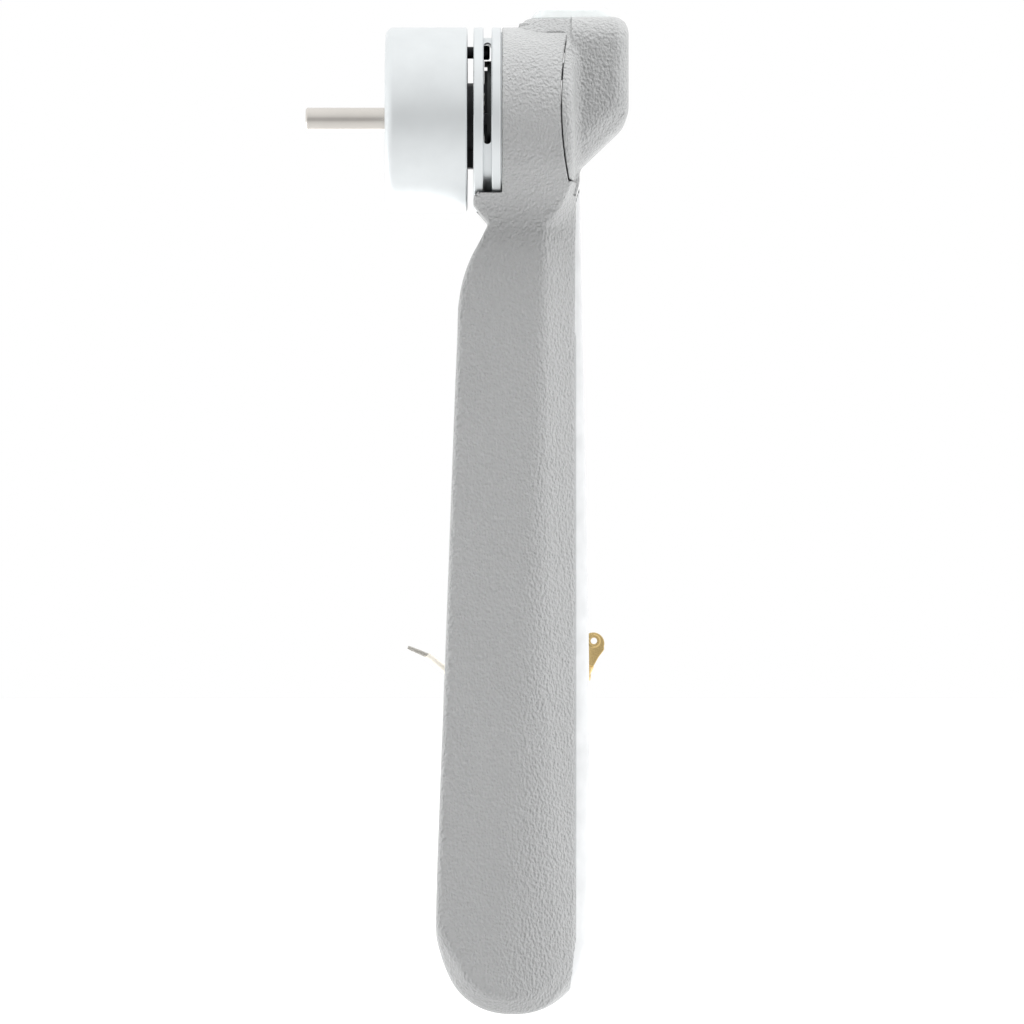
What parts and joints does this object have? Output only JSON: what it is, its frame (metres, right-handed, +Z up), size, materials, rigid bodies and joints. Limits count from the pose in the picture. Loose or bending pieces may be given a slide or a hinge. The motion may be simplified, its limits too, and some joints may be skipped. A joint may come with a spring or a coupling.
{
  "type": "window lever handle",
  "caption": "Window lever handle: round rosette with a bare spindle, slotted spool, textured grip, push button on the head and two loose leads.",
  "frame": {"origin": "on the spindle's axis, at the rosette's back face, where the sash begins", "axes": "+X out of the window along the spindle towards the room, +Z up, the grip hangs along -Z, +Y to the right for someone facing the handle"},
  "size_m": [0.0806, 0.058, 0.251],
  "materials": {
    "satin_aluminium": "satin anodised",
    "stainless": "fine ground",
    "plain_steel": "plain",
    "black_steel": "blackened, satin",
    "bush_brass": "plain",
    "black_plastic": "moulded, matt",
    "board_black": "solder mask, satin",
    "textured_grey": "fine leather grain, satin",
    "smooth_light_grey": "smooth, satin",
    "translucent_white": "translucent, satin",
    "cream_insulation": "extruded, smooth",
    "cable_black": "extruded, smooth",
    "tinned_copper": "tinned strands",
    "terminal_brass": "stamped"
  },
  "bodies": {
    "rosette": {"rosette_housing": "satin_aluminium", "front_bush": "bush_brass", "detent_ring": "plain_steel", "bearing_flange": "black_plastic", "flange_screws": "plain_steel", "rear_bush": "bush_brass", "stop_pin": "black_steel", "sensor_magnet": "plain_steel"},
    "lever": {"spindle": "stainless", "detent_rotor": "plain_steel", "rotor_pin": "plain_steel", "detent_balls": "plain_steel", "detent_springs": "plain_steel", "spool_front_disc": "satin_aluminium", "spool_drum": "satin_aluminium", "spool_rear_disc": "satin_aluminium", "spool_screws": "plain_steel", "sensor_board": "board_black", "board_chips": "black_plastic", "grip_shell": "textured_grey", "rear_cover": "smooth_light_grey", "lever_core": "plain_steel", "core_screws": "plain_steel", "spindle_washer": "plain_steel", "spindle_screw": "plain_steel", "head_cover": "textured_grey", "cover_screws": "plain_steel", "button_board": "board_black", "push_switch": "black_plastic", "link_cable": "cable_black", "white_lead": "cream_insulation", "lead_strands": "tinned_copper", "brass_lead": "cream_insulation", "brass_terminal": "terminal_brass"},
    "button": {"button_cap": "translucent_white", "button_stem": "translucent_white", "button_spring": "plain_steel"}
  },
  "joints": [
    {"name": "lever_turn", "type": "hinge", "parent": "rosette", "child": "lever", "pos_m": [0, 0, 0], "axis": [-1, 0, 0], "range_deg": [0, 180]},
    {"name": "button_press", "type": "slide", "parent": "lever", "child": "button", "axis": [0, 0, -1], "range_m": [0, 0.0012], "stiffness_N_per_m": 600, "springref_m": -0.002, "deforming": ["button_spring"]}
  ]
}
